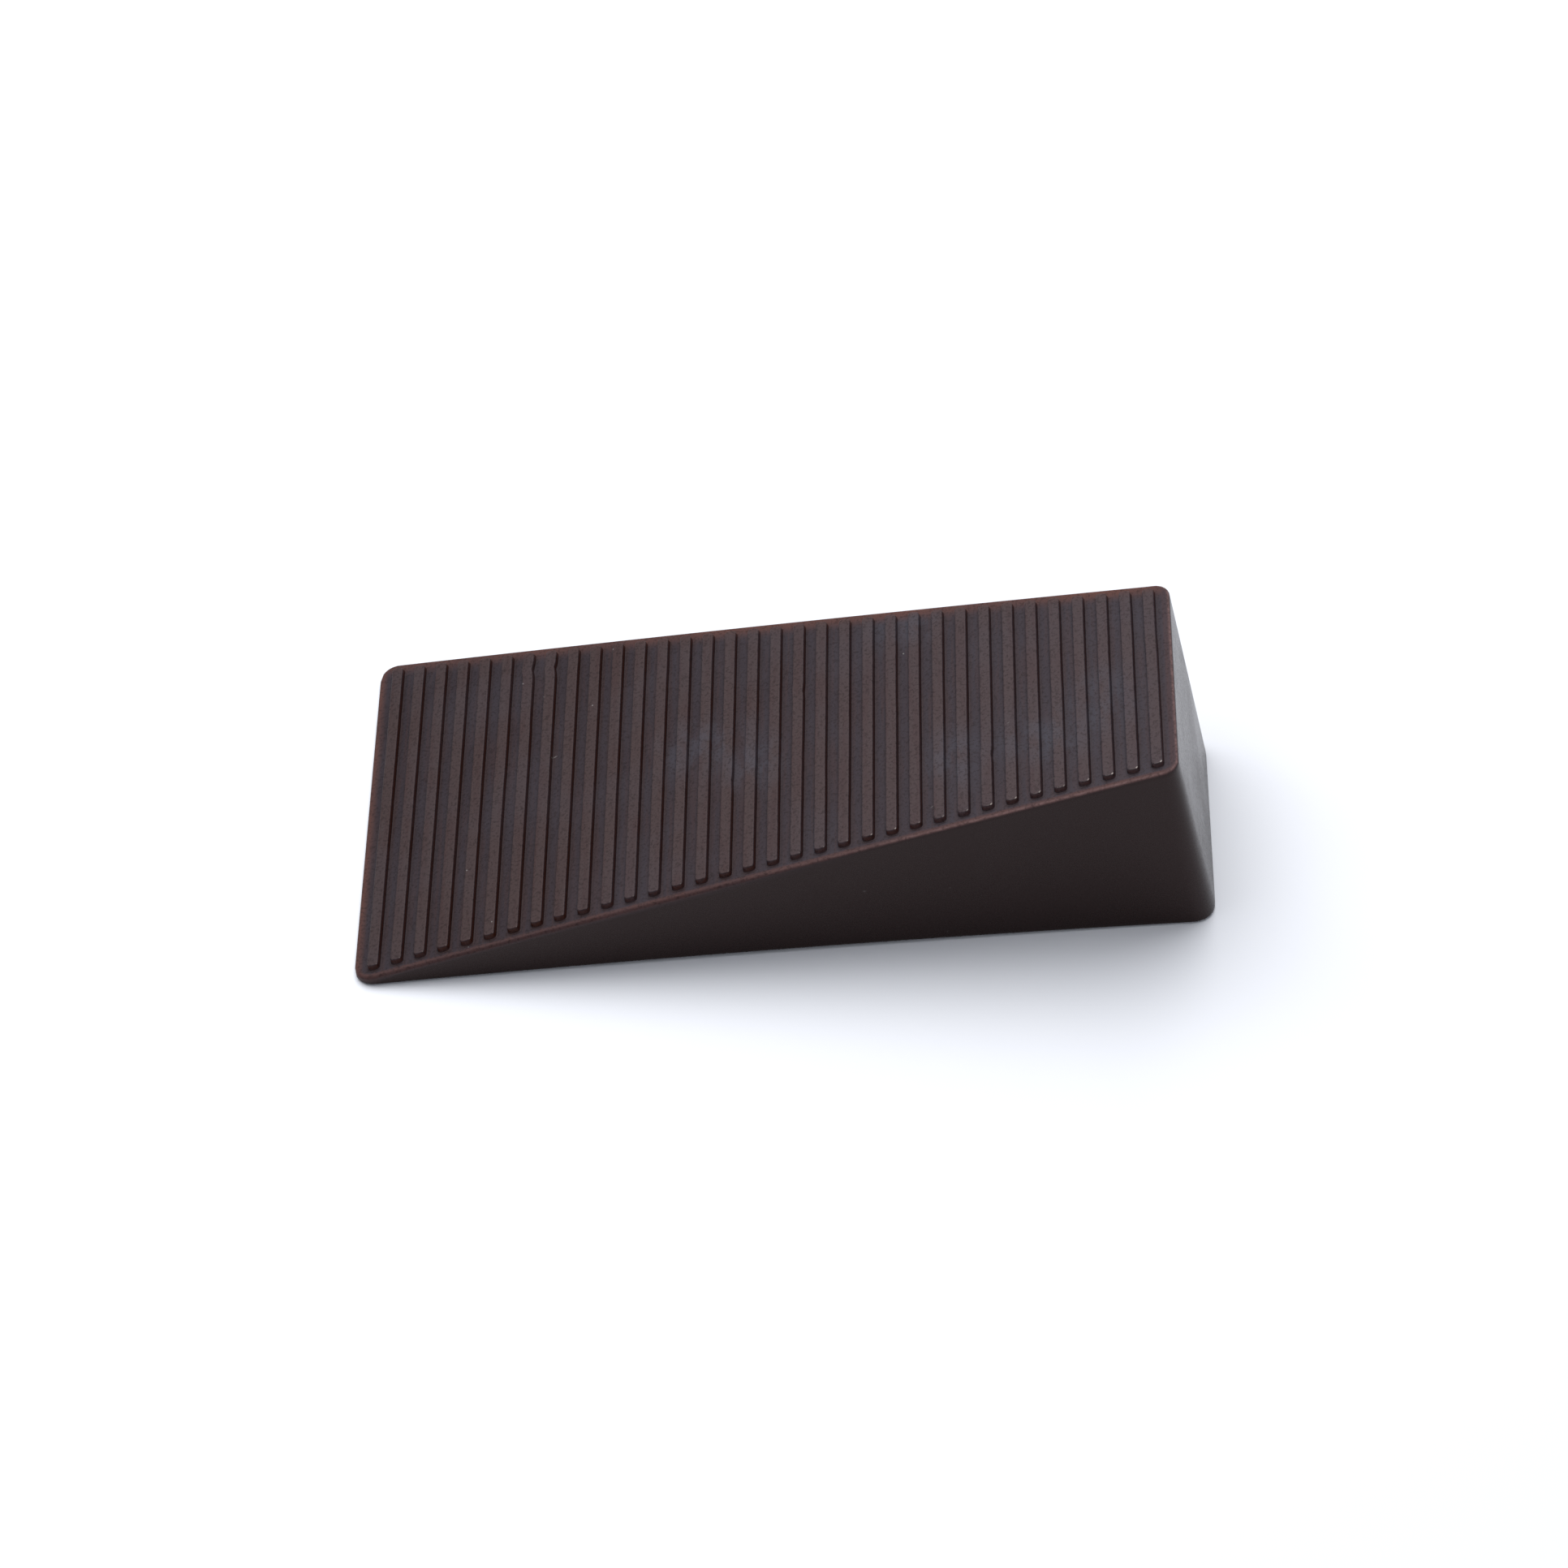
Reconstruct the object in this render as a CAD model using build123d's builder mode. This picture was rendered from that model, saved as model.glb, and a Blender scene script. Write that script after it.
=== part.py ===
from build123d import *
from math import atan2, cos, sin, tan
import os

os.makedirs("parts", exist_ok=True)

# Rubber wedge chock with a ribbed ramp, moulded in one piece. Millimetres.
# +X runs from the thin toe to the tall heel, +Y across, +Z up.
# The origin is the middle of the base, on the floor.

# Body. The lengths are to the sharp corners, before they are rounded.
length = 121.0  # toe to heel, along the base
toe_width = 60.0
heel_width = 33.5  # at the base
heel_height = 32.9  # floor to the ramp, at the heel's top edge
heel_lean = 7.2  # how far the heel's top edge stands toe-ward of its bottom edge
toe_thickness = 1.1
toe_corner_radius = 2.5
heel_corner_radius = 2.8
ramp_edge_radius = 0.5
base_edge_radius = 0.5

# Grip ribs across the ramp. Their widths and spacing are measured up the ramp.
rib_count = 34
rib_pitch = 3.405
first_rib = 3.8  # toe to the heel-side foot of the first rib
rib_foot_width = 1.76
rib_height = 0.85
rib_draft = 6.0  # degrees, on every wall
rib_end_margin = 1.3  # ramp's side edge to the end of a rib
rib_corner_radius = 0.5
rib_crest_radius = 0.18

# Rounding the heel's sharp foot shortens the body a little, and the frame is centred on what is left
heel_foot_angle = atan2(heel_height, heel_lean)
heel_foot_loss = base_edge_radius * (1 / tan(heel_foot_angle / 2) - 1)
toe_x = -(length - heel_foot_loss) / 2
heel_x = toe_x + length
heel_top_x = heel_x - heel_lean

ramp_angle = atan2(heel_height - toe_thickness, heel_top_x - toe_x)
ramp_plane = Plane(
    origin=(toe_x, 0, toe_thickness),
    x_dir=(cos(ramp_angle), 0, sin(ramp_angle)),
    z_dir=(-sin(ramp_angle), 0, cos(ramp_angle)),
)
off_ramp = Axis(ramp_plane.origin, ramp_plane.z_dir)


def rib_end_y(up_ramp):
    """Distance from the middle to the end of a rib that lies this far up the ramp from the toe."""
    from_toe = up_ramp * cos(ramp_angle)
    half_width = (toe_width + (heel_width - toe_width) * from_toe / length) / 2
    return half_width - rib_end_margin


with BuildPart() as rubber_wedge:
    # Side profile, carried across the toe's full width
    with BuildSketch(Plane.XZ):
        with BuildLine():
            Polyline(
                (toe_x, 0),
                (heel_x, 0),
                (heel_top_x, heel_height),
                (toe_x, toe_thickness),
                close=True,
            )
        make_face()
    extrude(amount=toe_width / 2, both=True)

    # Plan outline, narrowing to the heel
    with BuildSketch(Plane.XY):
        with BuildLine():
            Polyline(
                (toe_x, -toe_width / 2),
                (heel_x, -heel_width / 2),
                (heel_x, heel_width / 2),
                (toe_x, toe_width / 2),
                close=True,
            )
        make_face()
    extrude(amount=heel_height, mode=Mode.INTERSECT)

    # Upright corners: two that lean with the heel, and two short ones at the toe
    heel_face = rubber_wedge.faces().sort_by(Axis.X)[-1]
    fillet(heel_face.edges().filter_by(Axis.Y, reverse=True), radius=heel_corner_radius)
    toe_face = rubber_wedge.faces().sort_by(Axis.X)[0]
    fillet(toe_face.edges().filter_by(Axis.Z), radius=toe_corner_radius)

    # Broken edges all round the ramp and all round the base
    ramp_face = rubber_wedge.faces().filter_by(ramp_plane)[0]
    fillet(ramp_face.outer_wire().edges(), radius=ramp_edge_radius)
    base_face = rubber_wedge.faces().sort_by(Axis.Z)[0]
    fillet(base_face.outer_wire().edges(), radius=base_edge_radius)

    # Ribs, moulded in one with the body, their ends parallel to the tapered side walls
    with BuildSketch(ramp_plane):
        for rib in range(rib_count):
            upper = first_rib + rib * rib_pitch
            lower = upper - rib_foot_width
            with BuildLine():
                Polyline(
                    (lower, -rib_end_y(lower)),
                    (upper, -rib_end_y(upper)),
                    (upper, rib_end_y(upper)),
                    (lower, rib_end_y(lower)),
                    close=True,
                )
            make_face()
        fillet(vertices(), radius=rib_corner_radius)
    extrude(amount=rib_height, taper=rib_draft)

    # Rounded crests: the faces that stand highest off the ramp
    crest_faces = rubber_wedge.faces().filter_by(ramp_plane).group_by(off_ramp)[-1]
    fillet(crest_faces.edges(), radius=rib_crest_radius)

rubber_wedge.part.label = "rubber_wedge"
export_step(rubber_wedge.part, "parts/rubber_wedge.step")

print("outer size", rubber_wedge.part.bounding_box().size)
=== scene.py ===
import bpy
import numpy as np
from mathutils import Matrix, Vector


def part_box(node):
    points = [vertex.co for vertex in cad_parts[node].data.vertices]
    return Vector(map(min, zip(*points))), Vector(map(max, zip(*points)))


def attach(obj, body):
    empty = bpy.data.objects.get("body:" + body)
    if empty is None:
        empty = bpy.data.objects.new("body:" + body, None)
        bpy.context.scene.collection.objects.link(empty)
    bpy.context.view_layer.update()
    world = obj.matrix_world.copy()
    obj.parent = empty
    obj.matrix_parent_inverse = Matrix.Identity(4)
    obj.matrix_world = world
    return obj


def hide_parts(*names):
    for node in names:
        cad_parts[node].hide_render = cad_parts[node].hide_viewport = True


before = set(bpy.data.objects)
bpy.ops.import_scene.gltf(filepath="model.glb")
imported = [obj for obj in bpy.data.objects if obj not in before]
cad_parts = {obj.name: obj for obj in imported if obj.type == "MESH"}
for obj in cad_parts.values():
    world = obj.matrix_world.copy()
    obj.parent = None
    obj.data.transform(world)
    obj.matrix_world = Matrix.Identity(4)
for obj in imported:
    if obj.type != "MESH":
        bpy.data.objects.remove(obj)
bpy.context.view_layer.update()        # the wedge as the CAD has it
mm = 0.001               # the dictionaries below are in millimetres and degrees
print("frame loaded")

body = {
    "toeWidth": 60.0, "heelWidth": 33.5,
    "toeThickness": 1.1,
    "heelHeight": 32.9,      # floor to the ramp at the heel's top edge
    "heelLean": 7.2,         # the heel's top edge stands this far back from its foot
    "toeCorner": 2.5,
    "heelCornerTop": 2.2, "heelCornerFoot": 3.4,
    "cornerFade": 12.0,      # the walls take up the change of corner over this length
    "rampEdge": 0.5, "baseEdge": 0.5,
    "rampMargin": 0.95,      # flat rim left between the edge rounding and the ribbed field
    "edgeSteps": 6, "wallSteps": 12,
    "edgeSupport": 0.3,      # a row between rim and edge, at this share of the way in from the edge
    "baseInset": 0.8,        # the base's flat face starts this far in from its sharp foot
    # how the soft moulding sits: arched ramp and base, walls drawn in, foot of the heel spread
    "rampBow": 0.35, "baseBow": 0.45,
    "sidePull": 0.45, "heelSpread": 0.4,
}

rib = {
    "count": 34, "pitch": 3.405,
    "first": 3.8,            # toe to the heel-side foot of the first rib, up the ramp
    "foot": 1.76, "height": 0.85, "draft": 6.0,
    "endMargin": 1.3,
    "endDraft": 15.0,        # the ends lean in more than the sides
    "endBulge": 0.05,        # and are a little round across
    "corner": 0.5, "crest": 0.18, "footFillet": 0.1,
    "skirt": 0.28,           # the ring of ramp kept even round each foot
    "crestInset": 0.06,      # the first flat row of the crest
    "longSteps": 54, "endSteps": 3, "cornerSteps": 4, "filletSteps": 3, "crestSteps": 4,
    # how far a rib's line strays from straight, and how rough its edge is: (wavelength, share)
    "wander": 0.007, "wanderWaves": ((41.0, 0.8), (17.0, 0.5), (7.3, 0.3)),
    "ripple": 0.005, "rippleWaves": ((3.1, 0.6), (1.9, 0.6)),
    # small steps where the mould was recut: how many, how big, how long, and how far from the middle
    "jogs": 3, "jogSize": 0.012, "jogLength": 0.7, "jogSpan": 26,
    # nicks in single ribs: (rib from the toe, y, depth, half length)
    "nicks": ((7, 23.0, 0.26, 0.9), (8, 22.4, 0.24, 0.8), (16, -6.0, 0.1, 0.8),
              (19, 9.0, 0.09, 0.7), (27, -9.5, 0.1, 0.7)),
    "seed": 34,
}

# the marks that use leaves on the rubber, with painted shade, glow and highlight among them, drawn as masks:
# shares from 0 to 1, and distances
wearAndPaintedLight = {
    # painted shade at the feet of the ribs, darkening the groove: its rows from the groove up the foot's
    # arc, and how much there is round a rib, on its heel side and at its ends
    "footShadeRows": (0.35, 0.8, 1, 1, 1, 1),
    "footShadeLeast": 0.15, "footShadeHeelSide": 0.6, "footShadeEnds": 0.9,
    # painted highlight on the crests: the corner of a rib's end that shows it, and where from mid length it
    # is full
    "glintFacing": -50.0, "glintSpread": 6, "glintLeast": 0.1,
    "glintToe": 0.45, "glintFull": 25.0,
    # warm band round the ramp, partly warm rubber and partly a painted glow of light through the thin rim:
    # how much of it lies inside the edge, how fast it fades over the edge, and how much more or less of it
    # each side has
    "band": 0.66, "bandInside": 0.8, "bandFade": 3,
    "nearLess": 0.2, "nearMore": 0.1, "farMore": 0.34, "heelLess": 0.35,
    "farGlow": 2.7, "endGlow": 1.0, "glowFade": 1.3,     # how far it fades inward over the ribs
    "wallReach": 0.45, "wallShare": 0.78,        # it also runs down the top of the walls
    "wallStart": 48.0, "wallFade": 24.0,         # from the toe up to here
    "thinToe": 7.0, "thinReach": 0.9,            # and further down near the thin toe
    # rubbed line on the ramp's edge, partly a painted highlight on the edge's rounding: where it starts from
    # the toe, and its shape across the edge
    "lineStart": 46.0, "lineFade": 42.0, "lineLean": 0.8, "lineThin": 4,
    "wallBlend": 1.6,        # how the edge takes on the colour of the walls
}

lowCorner, highCorner = (np.array(corner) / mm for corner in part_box("rubber_wedge"))
footAngle = np.arctan2(body["heelHeight"], body["heelLean"])
footLoss = body["baseEdge"] * (1 / np.tan(footAngle / 2) - 1)
toeX = lowCorner[0]
heelX = highCorner[0] + footLoss          # the sharp foot, before its edge is rounded
heelTopX = heelX - body["heelLean"]
length = heelX - toeX
heelRake = body["heelLean"] / body["heelHeight"]
taper = (body["toeWidth"] - body["heelWidth"]) / 2 / length
slope = (body["heelHeight"] - body["toeThickness"]) / (heelTopX - toeX)
rampCos, rampSin = 1 / np.hypot(1, slope), slope / np.hypot(1, slope)


# half the plan width: a straight taper from toe to heel
def halfWidth(x):
    return body["toeWidth"] / 2 - taper * (x - toeX)


# height of the ramp: a straight line from the toe's top edge
def rampHeight(x):
    return body["toeThickness"] + slope * (x - toeX)


# ramp plane to space: s up the ramp, y across it, h square off it
def onRamp(s, y, h):
    x = toeX + s * rampCos - h * rampSin
    z = body["toeThickness"] + s * rampSin + h * rampCos
    return np.stack([x, y + 0 * x, z], -1)


# columns of the body's wall, one for each point (x, y) on the rim of the ribbed field:
# outward direction, sharp corner on the ramp, and the foot below it.
# A point nearer than the corner radius to both walls is swung onto the corner's arc,
# and at the heel the arc's radius grows in a straight line from the ramp to the foot.
def wallColumns(x, y):
    atToe = x < 0
    radius = np.where(atToe, body["toeCorner"], body["heelCornerTop"])
    side = np.where(y < 0, -1.0, 1.0)
    sinTaper, cosTaper = np.sin(np.arctan(taper)), np.cos(np.arctan(taper))
    fromSide = (halfWidth(x) - abs(y)) * cosTaper
    fromEnd = np.where(atToe, x - toeX, heelTopX - x)
    inSide = np.stack([np.full_like(x, -sinTaper), -side * cosTaper], -1)
    inEnd = np.stack([np.where(atToe, 1.0, -1.0), np.zeros_like(x)], -1)
    gapSide, gapEnd = radius - fromSide, radius - fromEnd
    lean = (inSide * inEnd).sum(-1)
    bySide = (gapSide - lean * gapEnd) / (1 - lean ** 2)
    byEnd = (gapEnd - lean * gapSide) / (1 - lean ** 2)
    corner = (bySide > 0) & (byEnd > 0)
    bySide = np.where(corner, bySide, np.where(gapSide > 0, gapSide, 0))
    byEnd = np.where(corner, byEnd, np.where(gapSide > 0, 0, gapEnd))
    core = np.stack([x, y], -1) + bySide[:, None] * inSide + byEnd[:, None] * inEnd
    out = np.stack([x, y], -1) - core
    out /= np.linalg.norm(out, axis=-1, keepdims=True)
    top = core + radius[:, None] * out

    toeCore, heelCore = toeX + body["toeCorner"], heelTopX - body["heelCornerTop"]
    along = np.clip((top[:, 0] - toeCore) / (heelCore - toeCore), 0, 1)
    across = np.clip(core[:, 1] / (halfWidth(core[:, 0]) - radius / cosTaper), -1, 1)
    top = np.column_stack([top, rampHeight(top[:, 0])])
    drop = np.column_stack([-heelRake * along, across * taper * heelRake * along, np.ones(len(x))])
    foot = top - drop * top[:, 2:]
    grow = np.where(atToe, 0, body["heelCornerFoot"] - body["heelCornerTop"])
    grow = grow * np.clip(1 - (np.maximum(fromSide, fromEnd) - radius) / body["cornerFade"], 0, 1)
    foot[:, :2] += grow[:, None] * ((inSide + inEnd) / (1 + lean)[:, None] + out)
    return out, top, foot


# rounded corner between two directions a and b that leave a sharp point:
# the arc of radius r that touches both, from the a side to the b side
def roundedCorner(sharp, a, b, r, steps):
    a = a / np.linalg.norm(a, axis=-1, keepdims=True)
    b = b / np.linalg.norm(b, axis=-1, keepdims=True)
    half = np.arccos((a * b).sum(-1, keepdims=True)) / 2
    reach = r / np.tan(half)
    middle = (a + b) / np.linalg.norm(a + b, axis=-1, keepdims=True)
    centre = sharp + middle * r / np.sin(half)
    start, end = (sharp + a * reach - centre) / r, (sharp + b * reach - centre) / r
    turn = np.arccos(np.clip((start * end).sum(-1, keepdims=True), -1, 1))
    part = np.linspace(0, 1, steps + 1)[:, None, None]
    return centre + r * (np.sin((1 - part) * turn) * start + np.sin(part * turn) * end) / np.sin(turn)


# quads of a grid of vertex numbers, each row joined to the next
def gridQuads(numbers, wrap=False):
    if wrap:
        numbers = np.concatenate([numbers, numbers[..., :1]], -1)
    a, b = numbers[..., :-1, :-1], numbers[..., :-1, 1:]
    c, d = numbers[..., 1:, 1:], numbers[..., 1:, :-1]
    return np.stack([a, b, c, d], -1).reshape(-1, 4)


# a sum of sines along y, with a random phase for each rib: (wavelength, share) for each sine
def waves(y, sines, random):
    total = 0
    for wavelength, share in sines:
        phase = random.uniform(0, 2 * np.pi, (len(y), 1))
        total = total + share * np.sin(2 * np.pi * y / wavelength + phase)
    return total


# how far each rib strays up or down the ramp: long waves, a few small steps, and the nicks
def strayOf(y, random):
    stray = rib["wander"] * waves(y, rib["wanderWaves"], random)
    for jog in range(rib["jogs"]):
        place = random.uniform(-rib["jogSpan"], rib["jogSpan"], (len(y), 1))
        size = random.normal(0, rib["jogSize"], (len(y), 1))
        stray = stray + size * np.tanh((y - place) / rib["jogLength"])
    for number, place, depth, reach in rib["nicks"]:
        stray[number - 1] -= depth * np.exp(-((y[number - 1] - place) / reach) ** 2)
    return stray


# outlines of the ribs in the ramp plane: a core quadrilateral for each, and at each of its
# points the angle that the outline is pushed out along. The ring starts mid-way round
# the near toe-side corner and runs along the near end, the heel side, the far end, the toe side.
def ribOutlines(feet):
    tilt = np.arctan2(1, taper * rampCos)
    angles = np.array([-np.pi, -tilt, 0.0, tilt, np.pi])     # which way each side faces
    turns = np.diff([-np.pi, -tilt, 0.0, tilt])
    turns = np.append(turns, np.pi - tilt)
    quarter = np.linspace(0, 1, rib["cornerSteps"] + 1)
    halfCorner = rib["cornerSteps"] // 2

    # half length of the core at s up the ramp: short of the wall by the margin and the corner
    def coreEnd(s):
        return halfWidth(toeX + s * rampCos) - rib["endMargin"] - rib["corner"] / np.sin(tilt)

    lowS, highS = feet - rib["foot"] + rib["corner"], feet - rib["corner"]
    cornerS = np.stack([lowS, highS, highS, lowS], -1)
    cornerY = np.stack([-coreEnd(lowS), -coreEnd(highS), coreEnd(highS), coreEnd(lowS)], -1)
    coreS, coreY, facing = [], [], []
    for k in range(4):
        steps = (rib["endSteps"], rib["longSteps"])[k % 2]
        after = (k + 1) % 4
        straight = np.arange(1, steps + 1) / steps
        for corners, core in ((cornerS, coreS), (cornerY, coreY)):
            line = corners[:, k, None] + (corners[:, after] - corners[:, k])[:, None] * straight
            if core is coreY and k % 2 == 0:
                line = line + np.sign(line) * 4 * rib["endBulge"] * straight * (1 - straight)
            core += [
                np.repeat(corners[:, k, None], halfCorner + 1, 1),
                line,
                np.repeat(corners[:, after, None], halfCorner - 1, 1),
            ]
        facing += [
            (angles[k] + turns[k] * quarter)[halfCorner:],
            np.full(steps, angles[k + 1]),
            (angles[k + 1] + turns[after] * quarter)[1:halfCorner],
        ]
    return np.concatenate(coreS, -1), np.concatenate(coreY, -1), np.concatenate(facing)


# section of a rib's wall from the groove up, as (push out, height): an arc at the foot,
# a straight drafted wall, and an arc onto the crest
def ribSection():
    draft = np.radians(rib["draft"])
    fillet, crest, height = rib["footFillet"], rib["crest"], rib["height"]
    lay = np.linspace(0, 1, rib["filletSteps"] + 1) * (np.pi / 2 - draft)
    footArc = np.column_stack([
        fillet * (1 - np.sin(lay)) - np.tan(draft) * fillet * lay / lay[-1],
        fillet * (1 - np.cos(lay)),
    ])
    lay = np.linspace(draft, np.pi / 2, rib["crestSteps"] + 1)
    crestCentre = -np.tan(draft) * height - crest * (1 / np.cos(draft) - np.tan(draft))
    crestArc = np.column_stack([crestCentre + crest * np.cos(lay), height - crest + crest * np.sin(lay)])
    middle = (footArc[-1:] + crestArc[:1]) / 2
    skirt, inset = [[rib["skirt"], 0.0]], crestArc[-1:] - [rib["crestInset"], 0.0]
    return np.concatenate([skirt, footArc, middle, crestArc, inset])


# rings of each rib from its skirt up to the crest: the section's push out and height carried
# round the outline, with each point's stray up the ramp and the extra lean of the ends
def ribRings(feet, section):
    coreS, coreY, facing = ribOutlines(feet)
    random = np.random.default_rng(rib["seed"])
    stray = strayOf(coreY, random)
    rough = rib["ripple"] * waves(coreY, rib["rippleWaves"], random) * abs(np.cos(facing))
    push, rise = section[:, 0][None, :, None], section[:, 1][None, :, None]
    grip = np.clip(1 - push / section[0, 0], 0, 1)       # the skirt stays put, the rib strays
    ringS = coreS[:, None] + np.cos(facing) * (rib["corner"] + push + rough[:, None] * grip)
    ringS = ringS + stray[:, None] * grip
    lean = rise * (np.tan(np.radians(rib["endDraft"])) - np.tan(np.radians(rib["draft"])))
    shorter = 1 - lean / abs(coreY).max(1)[:, None, None]
    ringY = coreY[:, None] * shorter + np.sin(facing) * (rib["corner"] + push)
    return onRamp(ringS, ringY, rise + 0 * ringS), facing


# a patch spanned by its four sides: near to far blended, plus toe to heel blended, less the
# corners blended both ways (Coons)
def patchBetween(near, far, toe, heel):
    u = np.linspace(0, 1, len(near))[:, None, None]
    v = np.linspace(0, 1, len(toe))[None, :, None]
    return ((1 - v) * near[:, None] + v * far[:, None] + (1 - u) * toe[None] + u * heel[None]
            - (1 - u) * ((1 - v) * near[0] + v * far[0]) - u * ((1 - v) * near[-1] + v * far[-1]))


# masks for the rubber, each as (ribs, shell, base). On the ribs: height up a rib, painted shade at its foot,
# painted highlight on the corner of its crest. Round the ramp: a warm band that is partly painted glow, a
# rubbed line along the edge that is partly painted highlight, the walls.
# A mask is a straight fade over a distance, raised to a power where the fade is uneven
def rubMarks(rings, facing, section, shell, loop, out):
    firstFoot, lastCrest = 1, rings.shape[1] - 1
    firstCrest = lastCrest - rib["crestSteps"] - 1
    ribRise, ribFootShade, crestGlint = np.zeros((3, *rings.shape[:3]))
    ribRise[:, 2:] = (section[:, 1] / rib["height"])[None, :, None]
    # painted shade at the rib's foot, most on its heel side and at its ends
    ribFootShade[:, firstFoot:firstFoot + len(wearAndPaintedLight["footShadeRows"])] = np.array(wearAndPaintedLight["footShadeRows"])[:, None]
    around = np.maximum(wearAndPaintedLight["footShadeHeelSide"] * np.cos(facing), wearAndPaintedLight["footShadeEnds"] * abs(np.sin(facing)))
    ribFootShade *= wearAndPaintedLight["footShadeLeast"] + (1 - wearAndPaintedLight["footShadeLeast"]) * around
    # painted highlight along the crest's arc, strongest at the heel-side corner of the near end
    overCrest = np.sin(np.pi * np.linspace(0, 1, rib["crestSteps"] + 1))
    crestGlint[:, firstCrest:lastCrest] = overCrest[None, :, None]
    toCorner = np.clip(np.cos(facing - np.radians(wearAndPaintedLight["glintFacing"])), 0, 1)
    crestGlint *= wearAndPaintedLight["glintLeast"] + (1 - wearAndPaintedLight["glintLeast"]) * toCorner ** wearAndPaintedLight["glintSpread"]
    fromMiddle = np.clip(rings[..., 0] / wearAndPaintedLight["glintFull"], 0, 1)
    crestGlint *= wearAndPaintedLight["glintToe"] + (1 - wearAndPaintedLight["glintToe"]) * fromMiddle

    # the shell's rows: rim, support, ramp edge, then walls and base edge
    rimWarmthAndGlow, rimLineAndHighlight, outerWall = np.zeros((3, *shell.shape[:2]))
    wallTop = 2 + body["edgeSteps"]
    edgeRows, wallRows = slice(2, wallTop + 1), slice(wallTop + 1, None)
    overEdge = np.linspace(0, 1, body["edgeSteps"] + 1)[:, None]
    fromToe, toFar = loop[:, 0] - toeX, out[:, 1]
    thin = np.clip(1 - fromToe / wearAndPaintedLight["thinToe"], 0, 1)
    warmTop = wearAndPaintedLight["wallShare"] * np.clip(1 - (fromToe - wearAndPaintedLight["wallStart"]) / wearAndPaintedLight["wallFade"], 0, 1)
    below = np.linalg.norm(shell[wallRows] - shell[wallTop], axis=-1)
    warm = warmTop * np.clip(1 - below / (wearAndPaintedLight["wallReach"] + wearAndPaintedLight["thinReach"] * thin), 0, 1)
    # the warm band, partly a painted glow of light through the thin rim
    rimWarmthAndGlow[1] = wearAndPaintedLight["bandInside"]
    rimWarmthAndGlow[edgeRows] = 1 - overEdge ** wearAndPaintedLight["bandFade"] * (1 - warmTop)
    rimWarmthAndGlow[wallRows] = warm
    share = wearAndPaintedLight["band"] + np.clip(toFar, 0, 1) * wearAndPaintedLight["farMore"] * fromToe / length
    share -= np.clip(-toFar, 0, 1) * (wearAndPaintedLight["nearLess"] - wearAndPaintedLight["nearMore"] * fromToe / length)
    rimWarmthAndGlow *= share - wearAndPaintedLight["heelLess"] * np.clip(out[:, 0], 0, 1)
    # the rubbed line along the edge, partly a painted highlight on the edge's rounding
    rimLineAndHighlight[edgeRows] = np.sin(np.pi * overEdge ** wearAndPaintedLight["lineLean"]) ** wearAndPaintedLight["lineThin"]
    rimLineAndHighlight *= np.clip((fromToe - wearAndPaintedLight["lineStart"]) / wearAndPaintedLight["lineFade"], 0, 1)
    outerWall[edgeRows] = overEdge ** wearAndPaintedLight["wallBlend"] * (1 - warmTop)
    outerWall[wallRows] = 1 - warm

    # the warm band and its painted glow run on inward over the rib ends at the far side, and less at toe and
    # heel
    fromToe = rings[..., 0] - toeX
    gapFar = (halfWidth(rings[..., 0]) - rings[..., 1] - body["rampEdge"]) / wearAndPaintedLight["farGlow"]
    gapEnd = (np.minimum(fromToe, heelTopX - rings[..., 0]) - body["rampEdge"]) / wearAndPaintedLight["endGlow"]
    endGlow = wearAndPaintedLight["band"] * np.clip(1 - gapEnd, 0, 1) ** wearAndPaintedLight["glowFade"]
    farShare = wearAndPaintedLight["band"] + wearAndPaintedLight["farMore"] * fromToe / length
    farGlow = farShare * np.clip(1 - gapFar, 0, 1) ** wearAndPaintedLight["glowFade"]
    noRib, noShell = np.zeros(rings.shape[:3]), np.zeros(shell.shape[:2])
    return {
        "ribRise": (ribRise, noShell, 0.0),
        "ribFootShade": (ribFootShade, noShell, 0.0),
        "crestGlint": (crestGlint, noShell, 0.0),
        "rimWarmthAndGlow": (np.maximum(endGlow, farGlow), rimWarmthAndGlow, 0.0),
        "rimLineAndHighlight": (noRib, rimLineAndHighlight, 0.0),
        "outerWall": (noRib, outerWall, 1.0),
    }


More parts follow.
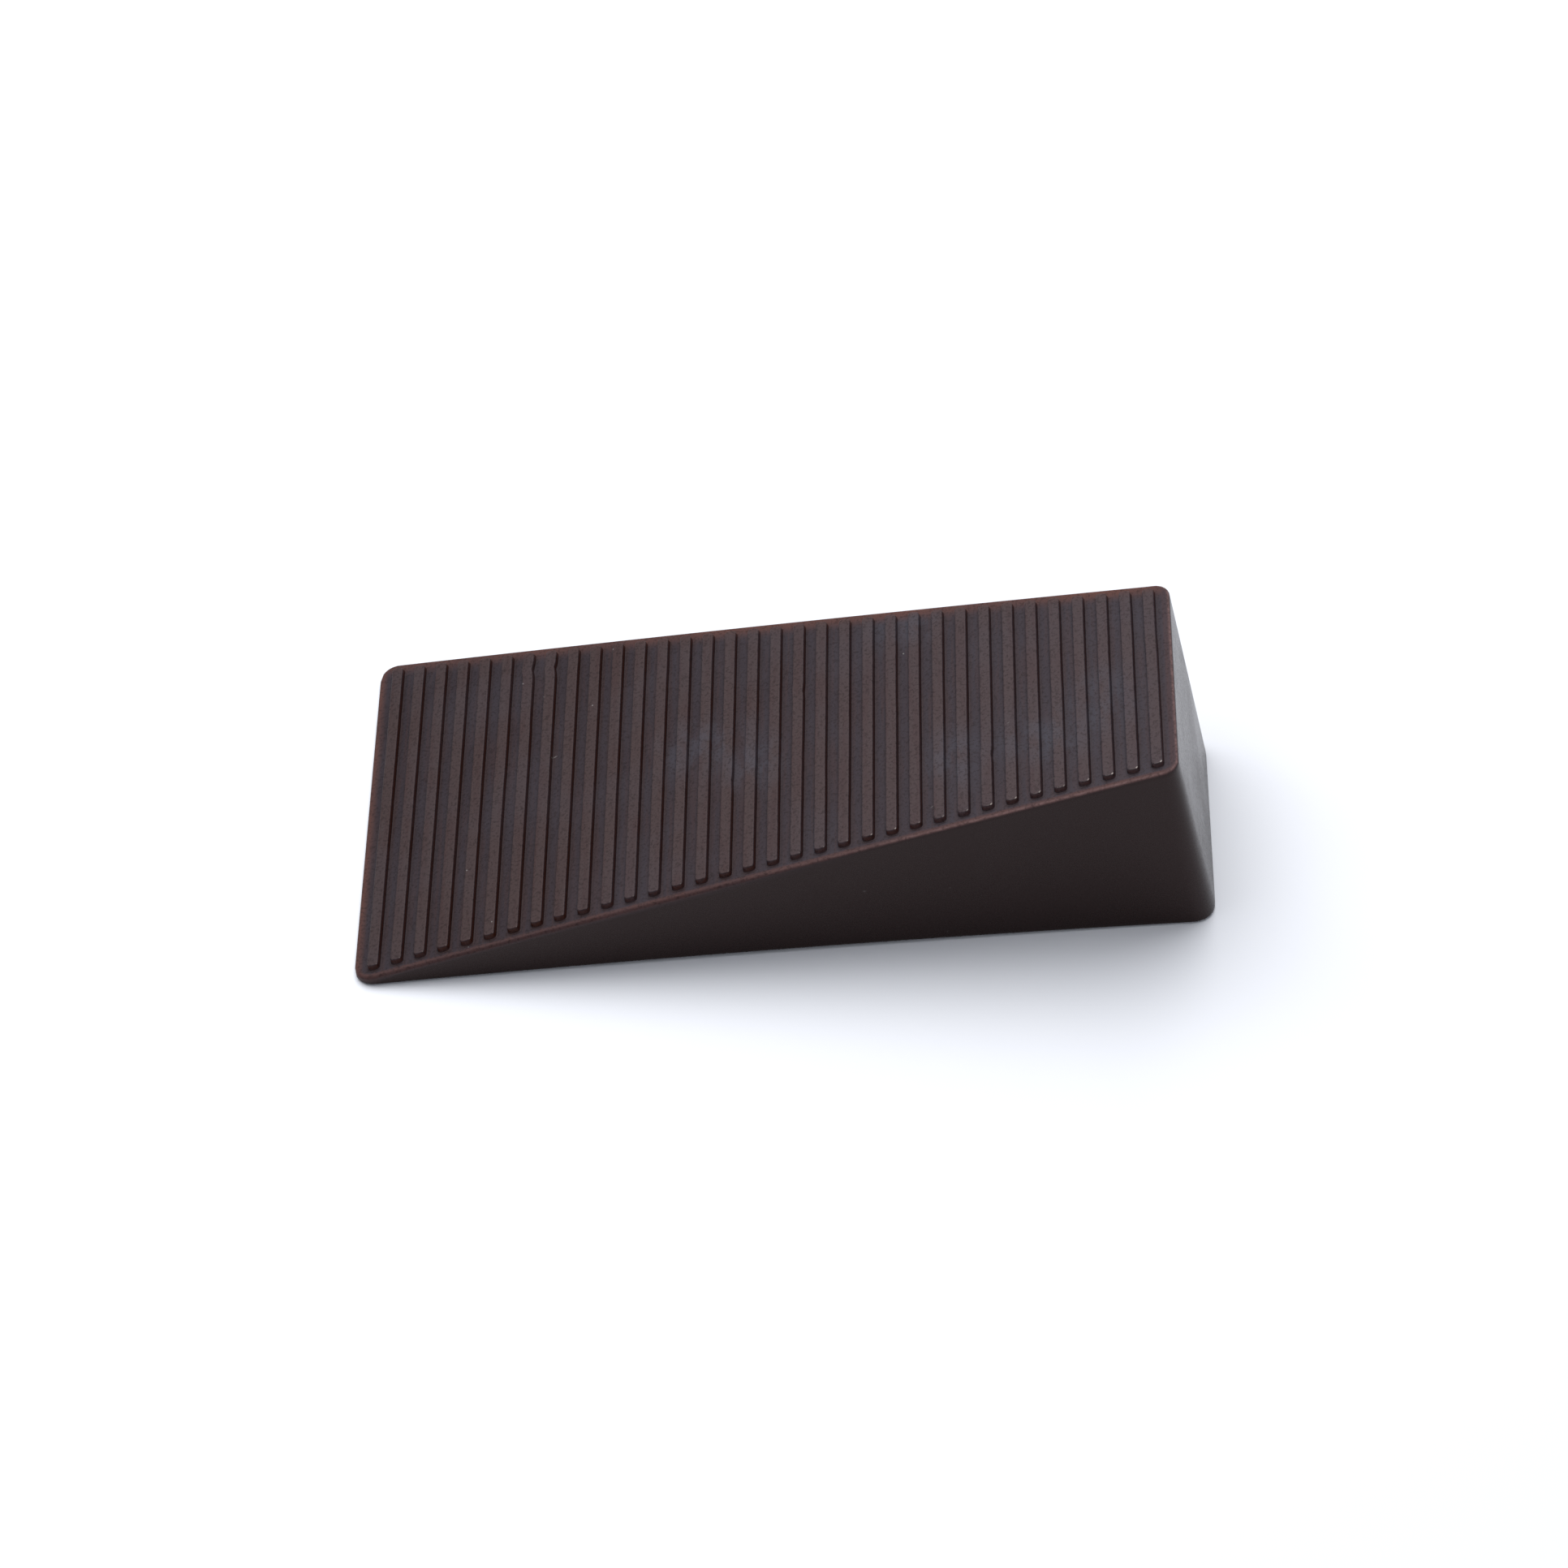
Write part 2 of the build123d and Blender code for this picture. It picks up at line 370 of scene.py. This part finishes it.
# the whole skin as one closed mesh. Around each rib is a cell of the ramp, meshed in rings from
# the cell's outline in to the rib's outline and up its wall, and closed across the crest.
# Around the ramp runs a shell: rim, ramp edge, wall, base edge. The base closes it.
def buildWedge():
    margin = body["rampMargin"]
    shortSteps = rib["endSteps"] + rib["cornerSteps"]
    longSteps = rib["longSteps"] + rib["cornerSteps"]
    halfCorner = rib["cornerSteps"] // 2
    rampLength = (heelTopX - toeX) / rampCos

    # lines between ribs, up the ramp: the rim, the middle of each groove, the rim
    feet = rib["first"] + rib["pitch"] * np.arange(rib["count"])
    grooves = (feet[:-1] + feet[1:] - rib["foot"]) / 2
    lines = np.concatenate([[margin], grooves, [rampLength - margin]])
    part = np.arange(shortSteps) / shortSteps
    sideS = (lines[:-1, None] + np.diff(lines)[:, None] * part).ravel()
    sideX = toeX + np.append(sideS, lines[-1]) * rampCos
    sideY = halfWidth(sideX) - margin

    # across each line: short steps past the rib's end, even steps along its length
    def acrossLine(half):
        core = half - (rib["endMargin"] + rib["corner"] - margin)
        ends = np.linspace(0, 1, halfCorner + 1)
        low = -half + (half - core) * ends[:-1, None]
        middle = np.linspace(-1, 1, rib["longSteps"] + 1)[:, None] * core
        return np.concatenate([low, middle, -low[::-1]]).T

    corners = np.arange(rib["count"] + 1) * shortSteps
    lineY = acrossLine(sideY[corners])
    toeEdge = np.column_stack([np.full(longSteps + 1, sideX[0]), lineY[0]])
    heelEdge = np.column_stack([np.full(longSteps + 1, sideX[-1]), lineY[-1]])

    # the rim of the field as one loop: near side, heel, far side, toe
    loop = np.concatenate([
        np.column_stack([sideX, -sideY])[:-1],
        heelEdge[:-1],
        np.column_stack([sideX, sideY])[:0:-1],
        toeEdge[:0:-1],
    ])
    out, top, foot = wallColumns(loop[:, 0], loop[:, 1])
    inward = -np.column_stack([out, slope * out[:, 0]])
    flat = -np.column_stack([out, np.zeros(len(out))])

    # shell: rim, ramp edge, wall, base edge
    rim = (top + inward * margin)[None]
    rampEdge = roundedCorner(top, inward, foot - top, body["rampEdge"], body["edgeSteps"])
    baseEdge = roundedCorner(foot, top - foot, flat, body["baseEdge"], body["edgeSteps"])
    drop = (1 - np.cos(np.pi * np.linspace(0, 1, body["wallSteps"] + 1)[1:-1, None, None])) / 2
    wall = rampEdge[-1] + drop * (baseEdge[0] - rampEdge[-1])
    support = rampEdge[:1] + body["edgeSupport"] * (rim - rampEdge[:1])
    inner = foot[None] + flat * body["baseInset"]
    shell = np.concatenate([rim, support, rampEdge, wall, baseEdge, inner])

    # base: spanned by the four sides of the shell's inner loop
    sides = np.arange(len(sideX))
    heelStart = len(sideX) - 1
    farStart = heelStart + longSteps
    acrossHeel = heelStart + np.arange(longSteps + 1)
    acrossToe = (len(loop) - np.arange(longSteps + 1)) % len(loop)
    alongFar = farStart + sides[::-1]
    base = patchBetween(*(inner[0][numbers] for numbers in (sides, alongFar, acrossToe, acrossHeel)))

    # outer ring of each rib's cell: its stretch of the rim or of the lines between ribs
    section = ribSection()
    rings, facing = ribRings(feet, section)
    nearRim, farRim = rim[0][sides], rim[0][alongFar]
    lineGrid = nearRim[corners][:, None] + (farRim[corners] - nearRim[corners])[:, None] * (
        (lineY / sideY[corners][:, None] + 1) / 2)[..., None]
    lineGrid[0], lineGrid[-1] = rim[0][acrossToe], rim[0][acrossHeel]
    cell = np.concatenate([
        nearRim[corners[:-1, None] + np.arange(shortSteps)],
        lineGrid[1:, :-1],
        farRim[corners[1:, None] - np.arange(shortSteps)],
        lineGrid[:-1, :0:-1],
    ], 1)
    between = (cell + rings[:, 0]) / 2       # a row halfway from the cell's outline to the skirt
    rings = np.concatenate([cell[:, None], between[:, None], rings], 1)

    # one list of points, welded where the pieces share a rim
    pieces = [rings.reshape(-1, 3), shell.reshape(-1, 3), base.reshape(-1, 3)]
    ringNumbers = np.arange(len(pieces[0])).reshape(rings.shape[:3])
    shellNumbers = ringNumbers.size + np.arange(len(pieces[1])).reshape(shell.shape[:2])
    baseNumbers = ringNumbers.size + shellNumbers.size + np.arange(len(pieces[2])).reshape(base.shape[:2])
    # rungs across each crest: the near half of its ring joined to the mirror half
    last, ringSize = ringNumbers[:, -1], ringNumbers.shape[2]
    rungs = np.arange(ringSize // 2)
    ladder = np.stack([
        last[:, (shortSteps // 2 - rungs) % ringSize],
        last[:, (shortSteps // 2 + 1 + rungs) % ringSize],
    ], 1)
    quads = np.concatenate([
        gridQuads(ringNumbers, wrap=True),
        gridQuads(shellNumbers[::-1], wrap=True),
        gridQuads(baseNumbers),
        gridQuads(ladder)[:, ::-1],
    ])

    masks = {
        name: np.concatenate([onRibs.ravel(), onShell.ravel(), np.full(len(pieces[2]), onBase)])
        for name, (onRibs, onShell, onBase) in rubMarks(rings, facing, section, shell, loop, out).items()
    }
    points = np.concatenate(pieces)
    welded = points.round(6)                 # shared points agree to a nanometre
    points, firstOf, number = np.unique(welded, axis=0, return_index=True, return_inverse=True)
    quads = number.ravel()[quads]
    masks = {name: values[firstOf] for name, values in masks.items()}
    return settle(points) * mm, quads, masks


# the set of the soft moulding. Ramp and base arch by 1 - u squared along their length, and
# the walls move in or out by a share that runs from toe to heel and from foot to ramp.
# No point rises past the top of the wedge's box
def settle(points):
    x, y, z = points.T
    share = np.clip(z / np.maximum(rampHeight(x), 1), 0, 1)
    t = (x - toeX) / length
    lastRib = heelTopX - rib["pitch"]
    rampSpan = np.clip(1 - ((2 * x - toeX - lastRib) / (lastRib - toeX)) ** 2, 0, 1)
    baseSpan = np.clip(1 - (2 * t - 1) ** 2, 0, 1)
    lift = body["baseBow"] * baseSpan * (1 - share) + body["rampBow"] * rampSpan * share
    move = body["heelSpread"] * t * (1 - share) - body["sidePull"] * baseSpan * (1 - share)
    return np.column_stack([x, y * (1 + move / halfWidth(x)), np.minimum(z + lift, highCorner[2])])


# a mesh object from points and quads, with each mask as a number on its points
def meshPiece(name, points, quads, masks):
    mesh = bpy.data.meshes.new(name)
    mesh.from_pydata(points, [], quads.tolist())
    mesh.shade_smooth()
    for key, values in masks.items():
        layer = mesh.attributes.new(key, "FLOAT", "POINT")
        layer.data.foreach_set("value", values.astype(np.float32))
    piece = bpy.data.objects.new(name, mesh)
    bpy.context.scene.collection.objects.link(piece)
    return piece


wedge = meshPiece("ribbed_wedge", *buildWedge())
print("wedge built:", len(wedge.data.vertices), "points,", len(wedge.data.polygons), "faces")

# The rubber is brown and reddish where it is thin or rubbed, cool in the grooves. A painted glow lies on the
# thin rim; painted shade darkens grooves, rib feet and outer walls; painted highlights lie on the edge line
# and crest corners.
# Colours are linear. A range is (none, full) of a mask or a noise, and where two more numbers
# follow, they are the shares that the range is turned into
rubber = {
    "crest": (0.045, 0.030, 0.030), "crestRange": (0.86, 0.99),
    # the grooves are cooler than the crests, and darker partly as painted shade
    "groove": (0.023, 0.0185, 0.0245),
    "ribWall": (0.036, 0.0085, 0.004), "wallFoot": (0.02, 0.2), "wallTop": (0.95, 0.75),
    "streak": (0.038, 0.020, 0.020), "streakSize": (0.8, 14.0), "streakRange": (0.45, 0.65, 0.0, 0.5),
    # painted shade at the feet of the ribs
    "footShade": (0.014, 0.006, 0.005), "footShadeRange": (0.05, 1.0), "footShadeRise": (0.25, 0.0, 0.0, 0.72),
    # painted shade: the outer walls much darker than the ramp
    "outerWall": (0.0115, 0.0055, 0.0050),
    # darker towards the toe, paler and cooler towards the heel, along the wedge's length
    "toeShade": (0.0, 1.0, 0.14, 0.0), "heelPaling": (0.2, 1.0, 0.0, 0.14),
    # pale bloom on the ramp, in patches broken up by a smear, and thinly in clouds all over.
    # Spots: (x, y, reach in x, reach in y)
    "bloom": (0.060, 0.068, 0.088), "bloomShare": 0.42, "bloomRange": (0.0, 0.9),
    "smearSize": (2.6, 5.0, 2.6), "smearRange": (0.34, 0.64),
    "cloudSize": 14.0, "cloudRange": (0.4, 0.7, 0.0, 0.12),
    "bloomSpots": ((-12.0, 2.0, 11.0, 8.0), (-5.0, -3.0, 7.0, 8.0), (23.0, -9.0, 6.0, 9.0),
                   (36.0, -8.0, 11.0, 8.0), (44.0, -3.0, 8.0, 10.0), (17.0, 18.0, 8.0, 6.0)),
    "bloomHeight": 20.0, "bloomDepth": 60.0,
    # edges, broken by the clouds or the pebble: warm band partly painted glow, rubbed line partly painted
    # highlight, painted glints on the crest corners
    # warm band: partly warm rubber, partly a painted glow through the thin rim
    "rimWarmthAndGlow": (0.100, 0.042, 0.032), "bandBreak": (0.35, 0.6, 0.7, 1.0),
    # rubbed line, partly a painted highlight on the edge's rounding
    "rim": (0.175, 0.106, 0.101), "rimBreak": (0.35, 0.65, 0.55, 1.0),
    # painted highlight: glints on the corners of the rib ends
    "paintedGlint": (0.50, 0.44, 0.40), "glintRange": (0.2, 0.9), "glintBreak": (0.42, 0.58, 0.3, 1.0),
    # fine grain, and how much lighter or darker its marks are: (ramp, walls)
    "grainSize": 0.40, "grainRange": (0.3, 0.7), "grainShade": (0.5, 0.08), "grainDepth": 0.028,
    "pebbleSize": 1.3, "pebbleDepth": 0.02,
    "wallCalm": 0.2,         # the walls left a smoother mould, and keep this much of the relief
    # dust: (spacing of the specks along x, y and z, turn), and how much shows: (ramp, walls)
    "dust": (0.30, 0.29, 0.28), "dustReach": (0.05, 0.02), "dustChance": 0.76, "dustShare": (0.5, 0.1),
    "specks": (((3.4, 3.4, 3.4), 0), ((13.0, 3.0, 6.0), 28), ((3.2, 11.0, 6.0), -21)),
    # gloss: the range of roughness, where the walls start, and what bloom and rubbing add
    "roughness": (0.36, 0.48), "roughRange": (0.35, 0.65), "wallRoughness": 0.22,
    "bloomRoughness": 0.1, "bandRoughness": 0.25,
    "ior": 1.27, "tint": (1.0, 0.72, 0.70),
}


# a small kit for wiring a material: each call adds one node and returns its main output
class Wiring:
    def __init__(self, material):
        material.use_nodes = True
        self.tree = material.node_tree
        self.shader = self.tree.nodes["Principled BSDF"]

    # a socket is linked, and a number or colour is set on the socket itself
    def put(self, value, socket):
        if isinstance(value, bpy.types.NodeSocket):
            self.tree.links.new(value, socket)
        else:
            socket.default_value = (*value, 1.0) if socket.type == "RGBA" and len(value) == 3 else value

    def attribute(self, name):
        node = self.tree.nodes.new("ShaderNodeAttribute")
        node.attribute_name = name
        return node.outputs["Fac"]

    # object coordinates in millimetres, moved and stretched
    def coordinates(self, size=(1, 1, 1), centre=(0, 0, 0), turn=0):
        place = self.tree.nodes.new("ShaderNodeTexCoord").outputs["Object"]
        node = self.tree.nodes.new("ShaderNodeMapping")
        node.vector_type = "TEXTURE"
        self.put(place, node.inputs["Vector"])
        node.inputs["Location"].default_value = [c * mm for c in centre]
        node.inputs["Rotation"].default_value[2] = np.radians(turn)
        node.inputs["Scale"].default_value = [s * mm for s in size]
        return node.outputs["Vector"]

    def noise(self, where, detail, roughness, distortion=0.0):
        node = self.tree.nodes.new("ShaderNodeTexNoise")
        self.put(where, node.inputs["Vector"])
        node.inputs["Scale"].default_value = 1.0
        node.inputs["Detail"].default_value = detail
        node.inputs["Roughness"].default_value = roughness
        node.inputs["Distortion"].default_value = distortion
        return node.outputs["Fac"]

    # distance to the nearest of many scattered points, and a random number for each point
    def cells(self, where):
        node = self.tree.nodes.new("ShaderNodeTexVoronoi")
        self.put(where, node.inputs["Vector"])
        node.inputs["Scale"].default_value = 1.0
        return node.outputs["Distance"], node.outputs["Color"]

    # SPHERICAL fades from 1 at the centre to 0 at the reach, LINEAR grows from 0 to 1 along x
    def gradient(self, where, kind="SPHERICAL"):
        node = self.tree.nodes.new("ShaderNodeTexGradient")
        node.gradient_type = kind
        self.put(where, node.inputs["Vector"])
        return node.outputs["Fac"]

    def math(self, operation, *values):
        node = self.tree.nodes.new("ShaderNodeMath")
        node.operation = operation
        for value, socket in zip(values, node.inputs):
            self.put(value, socket)
        return node.outputs["Value"]

    # value from low..high to newLow..newHigh, eased and clamped
    def band(self, value, low, high, newLow=0.0, newHigh=1.0):
        node = self.tree.nodes.new("ShaderNodeMapRange")
        node.interpolation_type = "SMOOTHSTEP"
        for socket, entry in zip(node.inputs, (value, low, high, newLow, newHigh)):
            self.put(entry, socket)
        return node.outputs["Result"]

    def mix(self, amount, first, second, blend="MIX"):
        node = self.tree.nodes.new("ShaderNodeMix")
        node.data_type = "RGBA"
        node.blend_type = blend
        self.put(amount, node.inputs["Factor"])
        self.put(first, node.inputs[6])
        self.put(second, node.inputs[7])
        return node.outputs[2]

    def bump(self, height, distance, below=None):
        node = self.tree.nodes.new("ShaderNodeBump")
        node.inputs["Strength"].default_value = 1.0
        node.inputs["Distance"].default_value = distance * mm
        self.put(height, node.inputs["Height"])
        if below:
            self.put(below, node.inputs["Normal"])
        return node.outputs["Normal"]


# one rubber for the whole wedge: colour by place on the moulding, with painted shade in the grooves, at the
# rib feet and on the outer walls, then bloom, rubbed edges with painted glow and highlights, grain and dust
# laid over it, each mixed in by its mask
def makeRubber():
    material = bpy.data.materials.new("brownRubber")
    w = Wiring(material)
    rise, ribFootShade, crestGlint = w.attribute("ribRise"), w.attribute("ribFootShade"), w.attribute("crestGlint")
    rimWarmthAndGlow, rimLineAndHighlight, outerWall = w.attribute("rimWarmthAndGlow"), w.attribute("rimLineAndHighlight"), w.attribute("outerWall")

    # textures, by the size of their marks in millimetres
    grain = w.noise(w.coordinates([rubber["grainSize"]] * 3), detail=4.0, roughness=0.6)
    pebble = w.noise(w.coordinates([rubber["pebbleSize"]] * 3), detail=3.0, roughness=0.5)
    width, reach = rubber["streakSize"]
    streak = w.noise(w.coordinates((width, reach, width)), detail=3.0, roughness=0.55)
    cloudPlace = w.coordinates([rubber["cloudSize"]] * 3)
    cloud = w.noise(cloudPlace, detail=4.0, roughness=0.55, distortion=0.4)

    # colour by place on the moulding: the grooves cooler than the crests, and darker partly as painted shade
    colour = w.mix(w.band(rise, *rubber["crestRange"]), rubber["groove"], rubber["crest"])
    flank = w.math("MULTIPLY", w.band(rise, *rubber["wallFoot"]), w.band(rise, *rubber["wallTop"]))
    colour = w.mix(flank, colour, rubber["ribWall"])
    colour = w.mix(w.band(streak, *rubber["streakRange"]), colour, rubber["streak"])
    # painted shade in the groove at the foot of each rib
    low = w.band(rise, *rubber["footShadeRise"])
    colour = w.mix(w.math("MULTIPLY", w.band(ribFootShade, *rubber["footShadeRange"]), low), colour, rubber["footShade"])
    toHeel = w.gradient(w.coordinates((length, length, length), (toeX, 0, 0)), "LINEAR")
    # darker towards the toe, paler and cooler towards the heel
    colour = w.mix(w.band(toHeel, *rubber["toeShade"]), colour, (0, 0, 0))
    colour = w.mix(w.band(toHeel, *rubber["heelPaling"]), colour, rubber["bloom"])
    # painted shade darkening the outer walls
    colour = w.mix(outerWall, colour, rubber["outerWall"])

    # bloom: soft cool patches, and the clouds
    spots = 0.0
    height, depth = rubber["bloomHeight"], rubber["bloomDepth"]
    for x, y, reachX, reachY in rubber["bloomSpots"]:
        spot = w.gradient(w.coordinates((reachX, reachY, depth), (x, y, height)))
        spots = w.math("MAXIMUM", spots, spot)
    smear = w.noise(w.coordinates(rubber["smearSize"]), detail=5.0, roughness=0.6)
    bloom = w.math("MULTIPLY", w.band(spots, *rubber["bloomRange"]), w.band(smear, *rubber["smearRange"]))
    onRamp = w.math("SUBTRACT", 1.0, outerWall)
    bloom = w.math("MULTIPLY", bloom, onRamp)
    colour = w.mix(w.math("MULTIPLY", bloom, rubber["bloomShare"]), colour, rubber["bloom"])
    clouds = w.math("MULTIPLY", w.band(cloud, *rubber["cloudRange"]), onRamp)
    colour = w.mix(clouds, colour, rubber["bloom"])

    # edges: warm band partly painted glow, rubbed line partly painted highlight, painted glints on the crest
    # corners
    # warm band: partly warm rubber, partly a painted glow through the thin rim
    band = w.math("MULTIPLY", w.band(rimWarmthAndGlow, 0.0, 1.0), w.band(cloud, *rubber["bandBreak"]))
    colour = w.mix(band, colour, rubber["rimWarmthAndGlow"])
    # rubbed line, partly a painted highlight on the edge's rounding
    rim = w.math("MULTIPLY", rimLineAndHighlight, w.band(pebble, *rubber["rimBreak"]))
    colour = w.mix(rim, colour, rubber["rim"])
    # painted highlight: glints on the corners of the rib ends
    glint = w.math("MULTIPLY", w.band(crestGlint, *rubber["glintRange"]), w.band(pebble, *rubber["glintBreak"]))
    colour = w.mix(glint, colour, rubber["paintedGlint"])

    # fine grain: each mark a little lighter or darker
    spread = w.band(outerWall, 0.0, 1.0, *rubber["grainShade"])
    darker, lighter = w.math("SUBTRACT", 1.0, spread), w.math("ADD", 1.0, spread)
    shade = w.band(grain, *rubber["grainRange"], darker, lighter)
    colour = w.mix(1.0, colour, w.mix(shade, (0, 0, 0), (1, 1, 1)), "MULTIPLY")

    # a few specks of dust and short fibres
    for size, turn in rubber["specks"]:
        distance, chance = w.cells(w.coordinates(size, turn=turn))
        picked = w.math("GREATER_THAN", chance, rubber["dustChance"])
        speck = w.math("MULTIPLY", w.band(distance, *rubber["dustReach"]), picked)
        speck = w.math("MULTIPLY", speck, w.band(outerWall, 0.0, 1.0, *rubber["dustShare"]))
        colour = w.mix(speck, colour, rubber["dust"])
    w.put(colour, w.shader.inputs["Base Color"])

    # gloss
    uneven = w.math("ADD", w.math("MULTIPLY", grain, 0.5), w.math("MULTIPLY", cloud, 0.5))
    rough = w.band(uneven, *rubber["roughRange"], *rubber["roughness"])
    rough = w.math("ADD", rough, w.math("MULTIPLY", bloom, rubber["bloomRoughness"]))
    rough = w.math("ADD", rough, w.math("MULTIPLY", rimWarmthAndGlow, rubber["bandRoughness"]))
    smoother = w.math("MULTIPLY", outerWall, rubber["wallRoughness"] - rubber["roughness"][0])
    w.put(w.math("ADD", rough, smoother), w.shader.inputs["Roughness"])
    w.shader.inputs["IOR"].default_value = rubber["ior"]
    w.put(rubber["tint"], w.shader.inputs["Specular Tint"])

    # relief: the pebble, and the grain on top of it
    calm = w.band(outerWall, 0.0, 1.0, 1.0, rubber["wallCalm"])
    relief = w.bump(w.math("MULTIPLY", pebble, calm), rubber["pebbleDepth"])
    relief = w.bump(w.math("MULTIPLY", grain, calm), rubber["grainDepth"], relief)
    w.put(relief, w.shader.inputs["Normal"])
    return material


wedge.data.materials.append(makeRubber())
print("rubber mixed")

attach(wedge, "root")
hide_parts("rubber_wedge")

studio = {
    "floorSize": 4.0, "floorColour": (0.84, 0.855, 0.895, 1), "floorRoughness": 0.9,
    "world": (0.9, 0.93, 1.0, 1), "worldStrength": 0.45,
    # softbox: place in metres, size in metres, power in watts
    "key": ((-0.22, 0.42, 1.2), (1.5, 1.1), 20.5),
}

view = {
    "azimuth": 0.985, "elevation": 48.76, "roll": -0.399,
    "distance": 690.24, "lens": 112.06, "sensor": 36.0,
    "near": 0.01, "far": 20,        # clipping, in metres
    "aim": (-0.09, 0.0, 14.0),      # point of the wedge that the camera is turned to
    "across": -0.572, "up": -2.993,      # the camera stands this far off that line
}


# a square sheet of pale paper, centred under the wedge
def addFloor():
    half = studio["floorSize"] / 2
    mesh = bpy.data.meshes.new("studio_floor")
    corners = [(-half, -half, 0), (half, -half, 0), (half, half, 0), (-half, half, 0)]
    mesh.from_pydata(corners, [], [(0, 1, 2, 3)])
    floor = bpy.data.objects.new("studio_floor", mesh)
    bpy.context.scene.collection.objects.link(floor)
    paper = bpy.data.materials.new("palePaper")
    paper.use_nodes = True
    shader = paper.node_tree.nodes["Principled BSDF"]
    shader.inputs["Base Color"].default_value = studio["floorColour"]
    shader.inputs["Roughness"].default_value = studio["floorRoughness"]
    mesh.materials.append(paper)


# a rectangular softbox at a place, turned to face the middle of the floor
def addLight(name, place, size, power):
    lamp = bpy.data.lights.new(name, "AREA")
    lamp.shape = "RECTANGLE"
    lamp.size, lamp.size_y = size
    lamp.energy = power
    light = bpy.data.objects.new(name, lamp)
    light.location = place
    light.rotation_euler = (-Vector(place)).to_track_quat("-Z", "Y").to_euler()
    bpy.context.scene.collection.objects.link(light)


# the camera looks along a line to the aim point, turned by azimuth about z, then up by elevation,
# then about the line of sight by the roll
def addCamera():
    azimuth, elevation, roll = (np.radians(view[key]) for key in ("azimuth", "elevation", "roll"))
    level = np.array([np.cos(azimuth), np.sin(azimuth), 0.0])
    forward = np.array([-np.sin(azimuth), np.cos(azimuth), 0.0])
    back = np.array([0, 0, np.sin(elevation)]) - np.cos(elevation) * forward
    upright = np.cross(back, level)
    right = np.cos(roll) * level + np.sin(roll) * upright
    top = np.cos(roll) * upright - np.sin(roll) * level
    place = view["aim"] + view["distance"] * back + view["across"] * right + view["up"] * top
    data = bpy.data.cameras.new("camera")
    data.lens, data.sensor_width = view["lens"], view["sensor"]
    data.clip_start, data.clip_end = view["near"], view["far"]
    camera = bpy.data.objects.new("camera", data)
    camera.matrix_world = Matrix(np.column_stack([right, top, back]).tolist()).to_4x4()
    camera.location = place * mm
    bpy.context.scene.collection.objects.link(camera)
    bpy.context.scene.camera = camera


addFloor()
addLight("softbox", *studio["key"])
world = bpy.data.worlds.new("studio")
world.use_nodes = True
background = world.node_tree.nodes["Background"]
background.inputs["Color"].default_value = studio["world"]
background.inputs["Strength"].default_value = studio["worldStrength"]
bpy.context.scene.world = world
bpy.context.scene.view_settings.view_transform = "Standard"
addCamera()
print("studio set")
